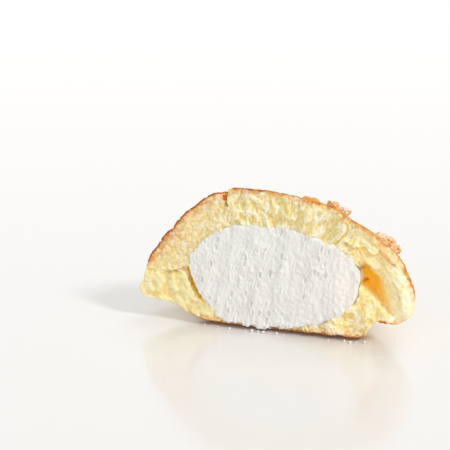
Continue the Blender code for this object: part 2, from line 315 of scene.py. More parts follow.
def keep(mesh, **numbers):
    """Stores numbers, or vectors, of the mesh's points under their names."""
    for name, values in numbers.items():
        flat = np.asarray(values, dtype=np.float32)
        kind = "FLOAT_VECTOR" if flat.ndim == 2 else "FLOAT"
        layer = mesh.attributes.new(name, kind, "POINT")
        layer.data.foreach_set("vector" if flat.ndim == 2 else "value", flat.ravel())


spot, facing = points_of(sponge.data)
print("sponge, in mm from the cut: from", spot.min(axis=0).round(1), "to", spot.max(axis=0).round(1))

# %% [markdown]
# ## Ramps, swells and lines
#
# Three tools say where something happens on the cake. A ramp fades a thing in from one place to
# another, a swell makes it uneven, and a line drawn on the cut says how far away from it each
# point lies and on which side.


# %% Tools that say where
def eased(value, start, end):
    """0 before start, 1 after end and smooth between, for a number or a whole array."""
    t = np.clip((value - start) / (end - start), 0.0, 1.0)
    return t * t * (3 - 2 * t)


def waves(spot, size, wanted):
    """Smooth noise from -1 to 1 with swells of that many millimetres, where it is wanted."""
    value = np.zeros(len(spot))
    value[wanted] = [noise.noise(Vector(place)) for place in spot[wanted] / size]
    return value


def beside_line(x, z, line):
    """How many corners along the line each place lies, and how far to the left of it."""
    best, along, aside = np.full(len(x), np.inf), np.zeros(len(x)), np.zeros(len(x))
    for i, ((ax, az), (bx, bz)) in enumerate(zip(line, line[1:])):
        run_x, run_z = bx - ax, bz - az
        share = np.clip(((x - ax) * run_x + (z - az) * run_z) / (run_x**2 + run_z**2), 0, 1)
        off_x, off_z = x - ax - share * run_x, z - az - share * run_z
        off = np.hypot(off_x, off_z)
        left = np.where(run_x * off_z - run_z * off_x > 0, off, -off)
        nearer = off < best
        best, along = np.where(nearer, off, best), np.where(nearer, i + share, along)
        aside = np.where(nearer, left, aside)
    return along, aside


print("half way up an eased step:", float(eased(0.5, 0.0, 1.0)))

# %% [markdown]
# ## Which skin was baked
#
# Only the outside of a cake browns. To find it, a ray leaves each packed face along its normal:
# from the dome and the base it flies free, while inside a hollow it soon meets sponge or cream.
# The torn cut also looks into the open, so faces that look forward near the knife are left out.
# The walls of the torn hollow and gap can look out through their mouths too, but a second ray,
# straight away from the middle of the bun, hits the sponge round them. From the skin it flies free.
# The distance from every point to that baked skin then tells how deep in the crumb it lies.

# %% Find the baked skin and the depth below it
TORN = (((24.0, 48.5), (9.0, 31.0)), ((-52.0, -27.0), (6.0, 25.0)))  # x and z, of hollow and gap
CREASE = ((-22.4, -18.9), (44.0, 60.0))
TORN_DEPTH, MIDDLE_Z = 14.0, 20.0
KNIFE_DEPTH, KNIFE_FACING = 3.0, -0.45
OFF_FACE, RAY_LENGTH = 0.05, 0.2  # in mm, and in m


def within(x, z, box):
    """True for places in the box, given as its x from and to, and its z from and to."""
    return (box[0][0] < x) & (x < box[0][1]) & (box[1][0] < z) & (z < box[1][1])


def tree_of(node, wanted=None):
    """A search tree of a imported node's faces, or of those that the test wants."""
    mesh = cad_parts[node].data
    corners = [v.co.copy() for v in mesh.vertices]
    faces = [tuple(p.vertices) for p in mesh.polygons if wanted is None or wanted(p)]
    return BVHTree.FromPolygons(corners, faces)


solids = {name: tree_of(name) for name in ("sponge", "cream")}


def baked(face):
    """True for a face of the outer skin."""
    x, y, z = (face.center - CUT) / MM
    if face.normal.y < KNIFE_FACING and y < KNIFE_DEPTH:
        return False
    start = face.center + face.normal * OFF_FACE * MM
    if y < TORN_DEPTH and within(x, z, CREASE):
        return False
    if y < TORN_DEPTH and any(within(x, z, box) for box in TORN):
        away = Vector((x, 0.0, z - MIDDLE_Z))
        if solids["sponge"].ray_cast(start, away, RAY_LENGTH)[0] is not None:
            return False
    return all(tree.ray_cast(start, face.normal, RAY_LENGTH)[0] is None for tree in solids.values())


def nearest_on(tree, mesh):
    """The place on the tree nearest to each point, how far up it faces and how far off it is."""
    hits = [tree.find_nearest(v.co) for v in mesh.vertices]
    places = (np.array([list(hit[0]) for hit in hits]) - np.array(CUT)) / MM
    return places, np.array([hit[1].z for hit in hits]), np.array([hit[3] for hit in hits]) / MM


_, skin_up, below = nearest_on(tree_of("sponge", baked), sponge.data)
cream_place, _, cream_away = nearest_on(solids["cream"], sponge.data)
print("deepest crumb:", round(float(below.max()), 1), "mm below the skin")

# %% [markdown]
# ## Cream and crumb touch
#
# Solids that touch are packed with a hair's breadth between them. On the real cake the cream fills
# its room, so the sponge's points beside the cream near the cut move up to it, except where a gap
# has really opened. The line between the two is frayed: crumbs reach over the cream and the cream
# smears over crumbs. One smooth noise moves the rims of both pieces in and out together.

# %% Close the hair's breadth round the cream and fray its rim
FRAY_SIZE, FRAY_REACH = 3.4, 0.75
FINE_FRAY_SIZE, FINE_FRAY_SHARE = 0.4 * FRAY_SIZE, 0.3
OVERLAP = 1.15  # times the way to the cream
CRUMBS_STAND_OUT = 0.4
FLAT = np.array([1.0, 0.0, 1.0])


def closed(spot):
    """1 near the cut, and 0 deep inside or where a gap has opened beside the cream."""
    x, y, z = spot.T
    right = eased(x, 28.0, 32.0) * eased(z, 17.5, 20.5) * (1 - eased(z, 29.0, 31.0))
    left = (1 - eased(x, -33.0, -29.0)) * (1 - eased(z, 20.0, 24.0))
    return (1 - eased(y, 3.0, 6.0)) * (1 - np.clip(right + left, 0, 1))


def frayed(spot, inwards, away):
    """The places near the cream's rim, moved in and out, and how far, from -1 to 1."""
    share = (1 - eased(away, 0.8, 3.4)) * closed(spot) * eased(spot[:, 2], 2.5, 6.0)
    inwards = inwards * FLAT
    inwards = inwards / np.maximum(np.linalg.norm(inwards, axis=1), 0.01)[:, None]
    wave = waves(spot * FLAT, FRAY_SIZE, share > 0.01)
    wave += FINE_FRAY_SHARE * waves(spot * FLAT, FINE_FRAY_SIZE, share > 0.01)
    wave = share * np.clip(1.6 * wave, -1, 1)
    return spot + inwards * FRAY_REACH * wave[:, None], wave


towards = cream_place - spot
beside = (1 - eased(cream_away, 0.5, 1.1)) * closed(spot)
reaching, wave = frayed(spot, towards, cream_away)
spot = reaching + towards * (beside * OVERLAP)[:, None] * FLAT
spot[:, 1] -= CRUMBS_STAND_OUT * np.maximum(wave, 0.0)
print("points moved up to the cream:", int((beside > 0.5).sum()))

# %% [markdown]
# ## The wing rolls into the hollow
#
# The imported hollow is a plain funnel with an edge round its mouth. In the torn cake there is no
# such edge: the wing's face sinks slowly towards a fold beside the cream and climbs steeply out of
# it onto the base. Seen from the front, all this is one landscape, so every point there gets a new
# depth. A line follows the bottom of the fold, and each of its corners says how deep it lies and
# how far the slopes reach on the wing's side and on the base's side.

# %% Sink the fold
FOLD = (  # x, z, depth, reach on the wing's side, reach on the base's side
    (33.8, 26.8, 5.5, 5.0, 4.0),
    (35.4, 23.0, 6.6, 9.0, 5.5),
    (38.6, 18.6, 4.6, 9.0, 2.6),
    (43.2, 13.8, 2.4, 7.0, 1.4),
    (46.8, 9.9, 1.0, 4.0, 1.0),
)
FRONT_X, FRONT_DEPTH = 24.0, 9.2


def sunk_fold(x, y, z):
    """The depth of the front points of the wing once they have sunk towards the fold."""
    along, aside = beside_line(x, z, [corner[:2] for corner in FOLD])
    deep, wing_side, base_side = (
        np.interp(along, np.arange(len(FOLD)), [corner[k] for corner in FOLD]) for k in (2, 3, 4)
    )
    reach = np.where(aside > 0, wing_side, base_side)
    return np.minimum(y, 1.0) + deep * (1 - eased(np.abs(aside), 0.0, reach))


x, y, z = spot.T
beside_cream = (cream_away < 0.9) & (y > 1.5)
front = (x > FRONT_X) & (y < FRONT_DEPTH) & (below > 1.0) & ~beside_cream
rolls = front * eased(x, 30.5, 32.5)
spot[:, 1] = y + rolls * (sunk_fold(x, y, z) - y)
print("the fold is", round(float(spot[front, 1].max()), 1), "mm deep")

# %% [markdown]
# ## Torn sheets and a seam
#
# Two torn sheets of the wing lie over each other like slates. Their edges are drawn along lines,
# as the fold is, and shaken so that they look torn. At the left end the lid parts from the base,
# but only a shallow line shows there, so the groove behind it is drawn forward by more than half.

# %% Lay the sheets and draw the seam shut
SHEETS = (  # lift of the edge in mm, and its line from left to right: x, z
    (1.1, ((25.5, 38.6), (28.1, 37.4), (34.2, 36.8), (39.8, 34.6), (45.3, 32.3), (49.5, 29.0))),
    (0.8, ((32.5, 31.2), (38.9, 29.4), (44.0, 25.8), (47.8, 20.0), (50.6, 13.5), (51.6, 8.5))),
)
SEAM_LIP, SEAM_END, SEAM_SHUT = 0.8, 8.0, 0.6  # two depths in mm, and the share drawn forward


def sheet_lift(spot, front):
    """How far each point stands out at the torn edge of a sheet, or sinks just under it."""
    x, y, z = spot.T
    jag = 0.8 * waves(spot * FLAT, 1.7, front) + 0.9 * waves(spot * FLAT, 4.1, front)
    total = np.zeros(len(spot))
    for lift, line in SHEETS:
        along, aside = beside_line(x, z, line)
        aside = aside + jag
        ends = eased(along, 0.0, 0.8) * (1 - eased(along, len(line) - 1.8, len(line) - 1.0))
        total += lift * ends * np.where(aside > 0, np.exp(-aside / 2.6), -0.5 * np.exp(aside / 2.0))
    return total * front


ledge = sheet_lift(spot, front) * (1 - eased(spot[:, 1], 2.0, 6.0)) * eased(below, 1.0, 3.0)
spot[:, 1] -= ledge
seam = eased(-x, 36.0, 39.0) * eased(z, 17.0, 18.5) * (1 - eased(z, 24.0, 25.5)) * eased(below, 1.0, 2.5)
spot[:, 1] -= SEAM_SHUT * seam * np.maximum(y - SEAM_LIP, 0.0) * (y < SEAM_END)
move_points(sponge.data, spot)
print("the sheets stand out by", round(float(ledge.max()), 1), "mm")

# %% [markdown]
# ## How the crumb tore
#
# The bubbles of a rising batter leave a grain. Over the cream they rose and left upright columns.
# In the right-hand wing they bend round with the dome, so it tears into long folds. The lid's left
# end was cut clean and shows only fine pores, and the base's left end is dense and soft like a
# pillow. Coordinates that follow the grain let a plain pattern stretch the right way.

# %% Give each part of the crumb its own grain
FOLDS_X, FOLDS_Z, FOLDS_RADIUS = 12.0, 4.0, 36.0
DOME_RADIUS = 42.0
CALMER = {  # the share of each relief that is taken off on the lid, the pillow and the wing
    "lumpy": (0.7, 0.3, 0.8),
    "knobbly": (0.3, 0.5, 0.7),
    "grainy": (0.0, 0.4, 0.2),
    "porous": (0.3, 0.9, 0.8),
}

rind = 0.6 + 0.4 * (1 - eased(x, -34.0, -14.0)) * eased(z, 18.0, 24.0)
crumb = eased(below, 0.6 * rind, 1.2 * rind)
lid = (1 - eased(x, -32.0, -14.0)) * eased(z, 19.0, 25.0)
pillow = (1 - eased(x, -30.0, -19.0)) * (1 - eased(z, 18.0, 24.0))
wing = eased(x, 26.0, 35.0) * eased(z, 6.0, 14.0)
columns = eased(x, -24.0, -10.0) * (1 - wing) * eased(z, 35.0, 43.0)
inside = eased(y, 1.5, 7.0) * eased(below, 1.5, 3.0)
around = np.arctan2(z - MIDDLE_Z, x) * DOME_RADIUS
outwards = np.hypot(x, 1.2 * (z - MIDDLE_Z)) * (1 - 0.25 * columns)
along = np.arctan2(z - FOLDS_Z, x - FOLDS_X) * FOLDS_RADIUS
across = np.hypot(x - FOLDS_X, z - FOLDS_Z)
touching = (1 - eased(cream_away, 0.5, 1.5)) * eased(y, 0.3, 1.2)
smooth = crumb * (1 - 0.4 * inside) * (1 - touching)
for name, (on_lid, on_pillow, on_wing) in CALMER.items():
    keep(sponge.data, **{name: smooth * (1 - on_lid * lid - on_pillow * pillow - on_wing * wing)})
keep(
    sponge.data,
    grain=np.stack([around, outwards, y], axis=1) * MM,
    fold=np.stack([0.22 * along, across, 0.5 * y], axis=1) * MM,
    crumb=crumb,
    foldy=smooth * wing,
    stringy=smooth * wing * (1 - 0.3 * eased(x, 46.0, 54.0)),
    ledge=ledge * MM,
)
print("share of points in the crumb:", round(float(crumb.mean()), 2))

# %% [markdown]
# ## Where the oven browned it
#
# The dome is brown down to the widest part of the bun. Below that the sides stayed pale, and the
# base has a thin gold skin where it lay on the tin. The rim of the crust at the cut looks darkest,
# because there we see its whole thickness edge on. A few crags of crust broke as the bun rose, and
# heat crept in along cracks, so a few places on the cut are toasted too.

# %% Store the browning, the crags and the toasted places
CRAGS = ((21.0, 4.0), (24.8, 4.4), (39.6, 4.6), (42.3, 4.4), (45.0, 4.8))  # x and y
TOASTED = (  # share of brown, reach in mm, and a line on the cut: x, z
    (1.0, 0.9, ((-22.6, 52.8), (-22.1, 51.6))),
    (0.3, 0.5, ((-22.0, 51.0), (-20.7, 46.6))),
    (0.3, 1.4, ((40.8, 35.8), (44.1, 33.6), (46.6, 31.2))),
    (0.9, 1.3, ((42.0, 7.8), (45.1, 7.0), (48.2, 6.4))),
    (0.6, 1.4, ((9.0, 55.6), (13.0, 54.7), (16.4, 53.4))),
    (0.1, 0.9, ((-37.6, 21.6), (-44.0, 20.2))),
)

toasted = np.zeros(len(spot))
for share, reach, line in TOASTED:
    aside = beside_line(x, z, line)[1]
    toasted = np.maximum(toasted, share * (1 - eased(np.abs(aside), 0.3 * reach, reach)))
craggy = np.zeros(len(spot))
for crag_x, crag_y in CRAGS:
    craggy = np.maximum(craggy, 1 - eased(np.hypot(x - crag_x, y - crag_y), 2.6, 3.8))
left_rise = np.where(x < 0, eased(z, 19.5, 23.0), eased(z, 15.0, 22.0))
tin_gold = eased(-skin_up, 0.6, 0.9) * eased(x, -44.0, -30.0) * (1 - 0.6 * eased(x, 34.0, 38.0))
drifted = eased(y, 2.5, 7.0) * eased(x, -60.0, -20.0)
keep(
    sponge.data,
    brown=np.clip(left_rise + 0.85 * tin_gold, 0.0, 1.0),
    sunny=eased(x, -20.0, 24.0) * eased(z, 5.0, 12.0),
    depth=below / rind,
    toasted=toasted * (1 - eased(y, 1.5, 4.0)),
    craggy=craggy * (z > 30.0),
    edge_on=eased(-facing[:, 1], 0.3, 0.7) * (1 - eased(y, 2.0, 4.0)),
    sugary=np.maximum(drifted, craggy * eased(x, 22.0, 25.0)),
    # painted shade: deep brown under the base near the cut, partly baked skin, partly the gap's shade
    foot=eased(-skin_up, 0.5, 0.9) * (1 - eased(y, 6.0, 10.0)) * eased(x, -44.0, -30.0),
)
print("points toasted on the cut:", int((toasted > 0.1).sum()))

# %% [markdown]
# ## Painted glow in the hollows
#
# Light that enters a hollow bounces between yellow walls and comes out amber. That glow is
# painted into the colour: the torn hollow and the gap beside the cream are painted gold behind
# the cut, and amber further in. The pillow is yellower than the lid, and the thin outer part of
# the wing is painted paler, where the light from the right nearly washes it out.

# %% Store the painted glow of the hollows and the tints of the crumb
gap_start = 0.2 + eased(cream_away, 1.0, 2.5)
gap = eased(-x, 22.0, 26.0) * eased(y, gap_start, gap_start + 1.2) * eased(below, 1.5, 3.0)
keep(
    sponge.data,
    # painted glow: amber where light bounces in the torn hollow and the gap beside the cream
    hollow=np.maximum(inside, gap * (1 - eased(z, 23.0, 26.0))),
    # painted glow: gold that deepens behind the cut
    gold=eased(y, 0.8 + 0.7 * wing, 4.5 + wing) * eased(below, 1.5, 3.0),
    yolk=0.6 * pillow + 0.2 * wing * (1 - eased(x, 42.0, 50.0)),
    lid=lid,
    # painted light: the right of the wing paler, where light from the right nearly washes it out
    sheer=eased(x, 38.0, 53.0),
    wing=wing * (1 - 0.7 * eased(x, 46.0, 53.0)),
)
print("points well behind the cut:", int((inside > 0.5).sum()))

# %% [markdown]
# ## Relief of crumb and crust
#
# Torn sponge is a pile of broken bubbles. Rounded lumps with creases between them, a rough noise,
# a shake in every direction and open pores sunk along the normal give the torn look. The crust
# gets fine wrinkles and the cracks between its plates. It could be sculpted by hand, but a rule
# keeps every size in real millimetres, and the sizes are the inputs of a Geometry Nodes tree.

# %% Trees with named sizes
CRUMB_SIZES = {
    "Lump Size": 4.2 * MM,
    "Lump Height": 1.0 * MM,
    "Knob Size": 1.9 * MM,
    "Knob Height": 0.45 * MM,
    "Fold Size": 4.6 * MM,
    "Fold Height": 0.5 * MM,
    "String Size": 1.4 * MM,
    "String Height": 0.5 * MM,
    "Grain Size": 0.95 * MM,
    "Grain Height": 0.30 * MM,
    "Crag Size": 1.3 * MM,
    "Crag Height": 0.7 * MM,
    "Shake Size": 0.9 * MM,
    "Shake Reach": 0.16 * MM,
    "Pore Size": 2.6 * MM,
    "Pore Depth": 0.4 * MM,
    "Wrinkle Size": 1.6 * MM,
    "Wrinkle Height": 0.16 * MM,
    "Plate Size": 9.0 * MM,
    "Crack Depth": 0.5 * MM,
}


def sized_tree(name, sizes):
    """A new tree with the geometry sockets and one number input for each size."""
    tree = bpy.data.node_groups.new(name, "GeometryNodeTree")
    tree.interface.new_socket("Geometry", in_out="INPUT", socket_type="NodeSocketGeometry")
    for label, value in sizes.items():
        socket = tree.interface.new_socket(label, in_out="INPUT", socket_type="NodeSocketFloat")
        socket.default_value = value
    tree.interface.new_socket("Geometry", in_out="OUTPUT", socket_type="NodeSocketGeometry")
    return tree, add(tree, "NodeGroupInput").node.outputs


def finish_tree(tree, geometry, material):
    """Ends a tree with real geometry and its material."""
    real = add(tree, "GeometryNodeRealizeInstances", {0: geometry})
    dressed = add(tree, "GeometryNodeSetMaterial", {0: real, "Material": material})
    tree.links.new(dressed, tree.nodes.new("NodeGroupOutput").inputs[0])
    return tree


def run_tree(piece, tree, sizes):
    """Puts the tree on the piece with its sizes and keeps the result as plain mesh."""
    modifier = piece.modifiers.new(tree.name, "NODES")
    modifier.node_group = tree
    for item in tree.interface.items_tree:
        if item.in_out == "INPUT" and item.name in sizes:
            modifier[item.identifier] = sizes[item.name]
    return evaluated(piece)


print("relief sizes in mm:", {k: round(v / MM, 2) for k, v in CRUMB_SIZES.items()})

# %% [markdown]
# ## Three patterns that trees share
#
# A Voronoi pattern's distance is smallest in the middle of each cell, so turned over it makes
# rounded domes with creases between them. Tufts come from a noise whose middle is steepened, and
# a shake is the same noise read three times at once, as a push in any direction.

# %% Domes, tufts and shakes
DOME_FALL = 1.9
TUFT_LOW, TUFT_HIGH = 0.38, 0.62


def domes(tree, where, size):
    """1 on the middle of each rounded lump, falling to 0 in the creases between them."""
    scale = add(tree, "ShaderNodeMath", {0: 1.0, 1: size}, operation="DIVIDE")
    away = add(tree, "ShaderNodeTexVoronoi", {"Vector": where, "Scale": scale})
    near = add(tree, "ShaderNodeMath", {0: away, 1: away}, operation="MULTIPLY")
    fall = {0: near, 1: -DOME_FALL, 2: 1.0}
    return add(tree, "ShaderNodeMath", fall, operation="MULTIPLY_ADD", use_clamp=True)


def tufts(tree, where, size):
    """1 on torn tufts, 0 in the recesses between them, with short ragged slopes."""
    scale = add(tree, "ShaderNodeMath", {0: 1.0, 1: size}, operation="DIVIDE")
    noise = add(tree, "ShaderNodeTexNoise", {"Vector": where, "Scale": scale, "Detail": 3.0})
    steep = {"Value": noise, "From Min": TUFT_LOW, "From Max": TUFT_HIGH}
    return add(tree, "ShaderNodeMapRange", steep, interpolation_type="SMOOTHSTEP")


def shaken(tree, where, size, reach):
    """A push in any direction, by about the reach at most, from three noises at once."""
    scale = add(tree, "ShaderNodeMath", {0: 1.0, 1: size}, operation="DIVIDE")
    noise = add(tree, "ShaderNodeTexNoise", {"Vector": where, "Scale": scale, "Detail": 2.0}, out=1)
    push = add(tree, "ShaderNodeVectorMath", {0: noise, 1: (0.5, 0.5, 0.5)}, operation="SUBTRACT")
    far = add(tree, "ShaderNodeMath", {0: reach, 1: 3.0}, operation="MULTIPLY")
    return add(tree, "ShaderNodeVectorMath", {0: push, 3: far}, operation="SCALE")


print("a dome ends", round(DOME_FALL**-0.5, 2), "of a cell's size from its middle")

# %% [markdown]
# ## The torn crumb
#
# Large forms follow the grain, and each has its own weight on the points, so one tree can tear
# every part of the cut in its own way. Each pattern's middle is taken off, so that a form rises
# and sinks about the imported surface. The large forms and the fine grains are handed on apart,
# because they tint the crumb differently.

# %% How high the crumb stands
FORMS = (  # name of its sizes, pattern, coordinates and weight
    ("Lump", tufts, "grain", "lumpy"),
    ("Knob", domes, "grain", "knobbly"),
    ("Fold", domes, "fold", "foldy"),
    ("String", tufts, "fold", "stringy"),
)
BEND_SIZE, BEND_REACH = 3.0 * MM, 0.5 * MM
FORM_MIDDLE, GRAIN_MIDDLE = 0.55, 0.6
PORE_EDGE, PORE_FLOOR = 0.80, 0.97


def torn_height(tree, given, place):
    """How far the crumb's large forms stand out, and how far its grains do, less the pores."""
    bent = shaken(tree, place, BEND_SIZE, BEND_REACH)
    large = add(tree, "GeometryNodeInputNamedAttribute", {0: "ledge"}, data_type="FLOAT")
    for name, form, path, weight in FORMS:
        where = add(tree, "GeometryNodeInputNamedAttribute", {0: path}, data_type="FLOAT_VECTOR")
        where = add(tree, "ShaderNodeVectorMath", {0: where, 1: bent}, operation="ADD")
        level = form(tree, where, given[f"{name} Size"])
        middle = add(tree, "ShaderNodeMath", {0: level, 1: FORM_MIDDLE}, operation="SUBTRACT")
        share = add(tree, "GeometryNodeInputNamedAttribute", {0: weight}, data_type="FLOAT")
        rise = add(tree, "ShaderNodeMath", {0: given[f"{name} Height"], 1: share}, operation="MULTIPLY")
        large = add(tree, "ShaderNodeMath", {0: middle, 1: rise, 2: large}, operation="MULTIPLY_ADD")
    grain = domes(tree, place, given["Grain Size"])
    middle = add(tree, "ShaderNodeMath", {0: grain, 1: GRAIN_MIDDLE}, operation="SUBTRACT")
    share = add(tree, "GeometryNodeInputNamedAttribute", {0: "grainy"}, data_type="FLOAT")
    rise = add(tree, "ShaderNodeMath", {0: given["Grain Height"], 1: share}, operation="MULTIPLY")
    fine = add(tree, "ShaderNodeMath", {0: middle, 1: rise}, operation="MULTIPLY")
    pore = {"Value": domes(tree, place, given["Pore Size"]), "From Min": PORE_EDGE, "From Max": PORE_FLOOR}
    pore = add(tree, "ShaderNodeMapRange", pore, interpolation_type="SMOOTHSTEP")
    share = add(tree, "GeometryNodeInputNamedAttribute", {0: "porous"}, data_type="FLOAT")
    pore = add(tree, "ShaderNodeMath", {0: pore, 1: share}, operation="MULTIPLY")
    sunk = add(tree, "ShaderNodeMath", {0: pore, 1: given["Pore Depth"]}, operation="MULTIPLY")
    return large, add(tree, "ShaderNodeMath", {0: fine, 1: sunk}, operation="SUBTRACT")


print("large forms of the torn crumb:", [name for name, *_ in FORMS])

# %% [markdown]
# ## The crust
#
# A baked skin dries, shrinks and cracks into plates, and between the cracks it wrinkles. The edges
# of Voronoi cells draw the plates. Where a crag broke, knobs stand on it.

# %% How high the crust stands
CRACK_REACH = 0.07  # of a plate, on each side of a crack
MIDDLE = 0.5  # of a pattern that runs from 0 to 1


def crust_height(tree, given, place):
    """Fine wrinkles, and the cracks between the plates of the crust."""
    scale = add(tree, "ShaderNodeMath", {0: 1.0, 1: given["Wrinkle Size"]}, operation="DIVIDE")
    noise = add(tree, "ShaderNodeTexNoise", {"Vector": place, "Scale": scale, "Detail": 3.0})
    level = add(tree, "ShaderNodeMath", {0: noise, 1: MIDDLE}, operation="SUBTRACT")
    wrinkle = add(tree, "ShaderNodeMath", {0: level, 1: given["Wrinkle Height"]}, operation="MULTIPLY")
    scale = add(tree, "ShaderNodeMath", {0: 1.0, 1: given["Plate Size"]}, operation="DIVIDE")
    plates = {"Vector": place, "Scale": scale}
    plates = add(tree, "ShaderNodeTexVoronoi", plates, feature="DISTANCE_TO_EDGE")
    crack = {"Value": plates, "From Min": CRACK_REACH, "From Max": 0.0}
    crack = add(tree, "ShaderNodeMapRange", crack)
    deep = add(tree, "ShaderNodeMath", {0: crack, 1: given["Crack Depth"]}, operation="MULTIPLY")
    knobs = domes(tree, place, given["Crag Size"])
    knobs = add(tree, "ShaderNodeMath", {0: knobs, 1: MIDDLE}, operation="SUBTRACT")
    share = add(tree, "GeometryNodeInputNamedAttribute", {0: "craggy"}, data_type="FLOAT")
    knobs = add(tree, "ShaderNodeMath", {0: knobs, 1: share}, operation="MULTIPLY")
    rough = {0: knobs, 1: given["Crag Height"], 2: wrinkle}
    rough = add(tree, "ShaderNodeMath", rough, operation="MULTIPLY_ADD")
    return add(tree, "ShaderNodeMath", {0: rough, 1: deep}, operation="SUBTRACT")


print("a crack is", round(2 * CRACK_REACH * CRUMB_SIZES["Plate Size"] / MM, 1), "mm wide")

# %% [markdown]
# ## One tree for both
#
# The crumb's height is also stored in the mesh, because the material paints shade by it: the low
# places are painted deep yellow, as shade in torn crumb glows, and the torn tips stay nearly white.
# The tips of the fine grains are painted paler, as small painted highlights. The ledges of the
# sheets were already moved, so they count for the tint and are taken off the push.


# %% The tree that tears the crumb and wrinkles the crust
def relief_tree(material):
    """Crumb where it was torn, crust where it was baked."""
    tree, given = sized_tree("baked_and_torn", CRUMB_SIZES)
    place = add(tree, "GeometryNodeInputPosition")
    crumb = add(tree, "GeometryNodeInputNamedAttribute", {0: "crumb"}, data_type="FLOAT")
    large, fine = torn_height(tree, given, place)
    skin = add(tree, "ShaderNodeMath", {0: 1.0, 1: crumb}, operation="SUBTRACT")
    crust = crust_height(tree, given, place)
    skin = add(tree, "ShaderNodeMath", {0: crust, 1: skin}, operation="MULTIPLY")
    height = add(tree, "ShaderNodeMath", {0: large, 1: fine}, operation="ADD")
    height = add(tree, "ShaderNodeMath", {0: height, 1: skin}, operation="ADD")
    ledge = add(tree, "GeometryNodeInputNamedAttribute", {0: "ledge"}, data_type="FLOAT")
    height = add(tree, "ShaderNodeMath", {0: height, 1: ledge}, operation="SUBTRACT")
    noted = given["Geometry"]
    for name, value in (("height", large), ("grit", fine)):
        noted = add(
            tree,
            "GeometryNodeStoreNamedAttribute",
            {0: noted, "Name": name, "Value": value},
            data_type="FLOAT",
            domain="POINT",
        )
    out = add(tree, "GeometryNodeInputNormal")
    push = add(tree, "ShaderNodeVectorMath", {0: out, 3: height}, operation="SCALE")
    share = add(tree, "GeometryNodeInputNamedAttribute", {0: "grainy"}, data_type="FLOAT")
    reach = add(tree, "ShaderNodeMath", {0: given["Shake Reach"], 1: share}, operation="MULTIPLY")
    shake = shaken(tree, place, given["Shake Size"], reach)
    push = add(tree, "ShaderNodeVectorMath", {0: push, 1: shake}, operation="ADD")
    moved = add(tree, "GeometryNodeSetPosition", {0: noted, "Offset": push})
    return finish_tree(tree, moved, material)


print("the tree reads grain, fold, crumb, ledge and seven weights, and writes height and grit")

# %% [markdown]
# ## Ways to paint
#
# Food has no flat colour. Each colour below is a stack of thin layers over a first one, and each
# layer shows where a pattern, or a number that the points carry, lets it. Real sizes in
# millimetres set the scale of every pattern.


# %% Spots, layers, carried numbers and flecks
def spots(tree, place, size_mm, low, high, detail=3.0):
    """Soft spots of about that size: 0 where the noise is below low and 1 above high."""
    noise = {"Vector": place, "Scale": 1.0 / (size_mm * MM), "Detail": detail}
    noise = add(tree, "ShaderNodeTexNoise", noise)
    return add(tree, "ShaderNodeMapRange", {"Value": noise, "From Min": low, "From Max": high})


def layered(tree, first, layers):
    """Colours laid over each other in turn, each as strong as all its shares multiplied."""
    for second, share, *others in layers:
        for other in others:
            share = add(tree, "ShaderNodeMath", {0: share, 1: other}, operation="MULTIPLY")
        first = add(tree, "ShaderNodeMix", {0: share, 6: first, 7: second}, out=2, data_type="RGBA")
    return first


def carried(tree, name, low=0.0, high=1.0):
    """A number that the points carry, as a share from 0 at low to 1 at high."""
    value = add(tree, "ShaderNodeAttribute", attribute_name=name, out=2)
    return add(tree, "ShaderNodeMapRange", {"Value": value, "From Min": low, "From Max": high})


def flecks(tree, place, size_mm, share):
    """Single grains of that size, picked out by the random colours of Voronoi cells."""
    cell = add(tree, "ShaderNodeTexVoronoi", {"Vector": place, "Scale": 1.0 / (size_mm * MM)}, out=1)
    drawn = add(tree, "ShaderNodeSeparateXYZ", {0: cell})
    picked = {"Value": drawn, "From Min": 1.0 - share, "From Max": 1.15 - share}
    return add(tree, "ShaderNodeMapRange", picked)


print("ways to paint:", [way.__name__ for way in (spots, layered, carried, flecks)])

# %% [markdown]
# ## The colour of the crumb
#
# Castella crumb is full of egg yolk, so it is warm yellow and lets light in. That light is
# painted: low places get painted yellow shade, hollows a painted amber glow instead of grey, and
# the torn tips and pale flecks painted highlights, partly the crumb's own pale grains.

# %% Paint the crumb
# the amber of the glow painted into the hollows
AMBER = "FFC034"


def crumb_colour(tree, place):
    """Painted highlights on tips, painted yellow shade in recesses, painted amber glow in hollows."""
    grain = add(tree, "ShaderNodeAttribute", attribute_name="grain", out=1)
    fold = add(tree, "ShaderNodeAttribute", attribute_name="fold", out=1)
    patch = spots(tree, grain, 3.6, 0.44, 0.60)
    streak = spots(tree, fold, 1.5, 0.44, 0.58)
    pores = spots(tree, grain, 1.8, 0.36, 0.6)
    return layered(
        tree,
        hex_colour("FFF0D4"),
        [
            # yellower patches along the grain: partly the crumb's own tone, partly painted soft shade
            (hex_colour("F1DF98"), patch, 0.75),
            (hex_colour("FFE8A8"), carried(tree, "yolk")),
            # darker spots for the lid's pores: partly the crumb's tone, partly painted shade inside pores
            (hex_colour("E9CC86"), carried(tree, "lid"), pores, 0.6),
            (hex_colour("F6D986"), streak, carried(tree, "wing"), 0.5),
            # painted shade: the lower the crumb lies, the deeper its yellow
            (hex_colour("EAD06A"), carried(tree, "height", 0.1 * MM, -0.55 * MM), 0.6),
            # painted light: the right of the wing washed paler
            (hex_colour("FFF6E0"), carried(tree, "sheer"), 0.55),
            # painted highlights: paler where fine grains stand out, and pale flecks, partly the crumb's own
            # grains
            (hex_colour("FFF8E6"), carried(tree, "grit", 0.0, 0.15 * MM), 0.3),
            (hex_colour("FFFBEF"), flecks(tree, place, 0.6, 0.2), 0.4),
            (hex_colour("DDB85E"), flecks(tree, grain, 0.8, 0.15), 0.2),
            # painted glow: gold behind the cut, then amber deep in the hollows
            (hex_colour("FAD272"), carried(tree, "gold"), 0.75),
            (hex_colour(AMBER), carried(tree, "hollow", 0.15, 0.9)),
        ],
    )


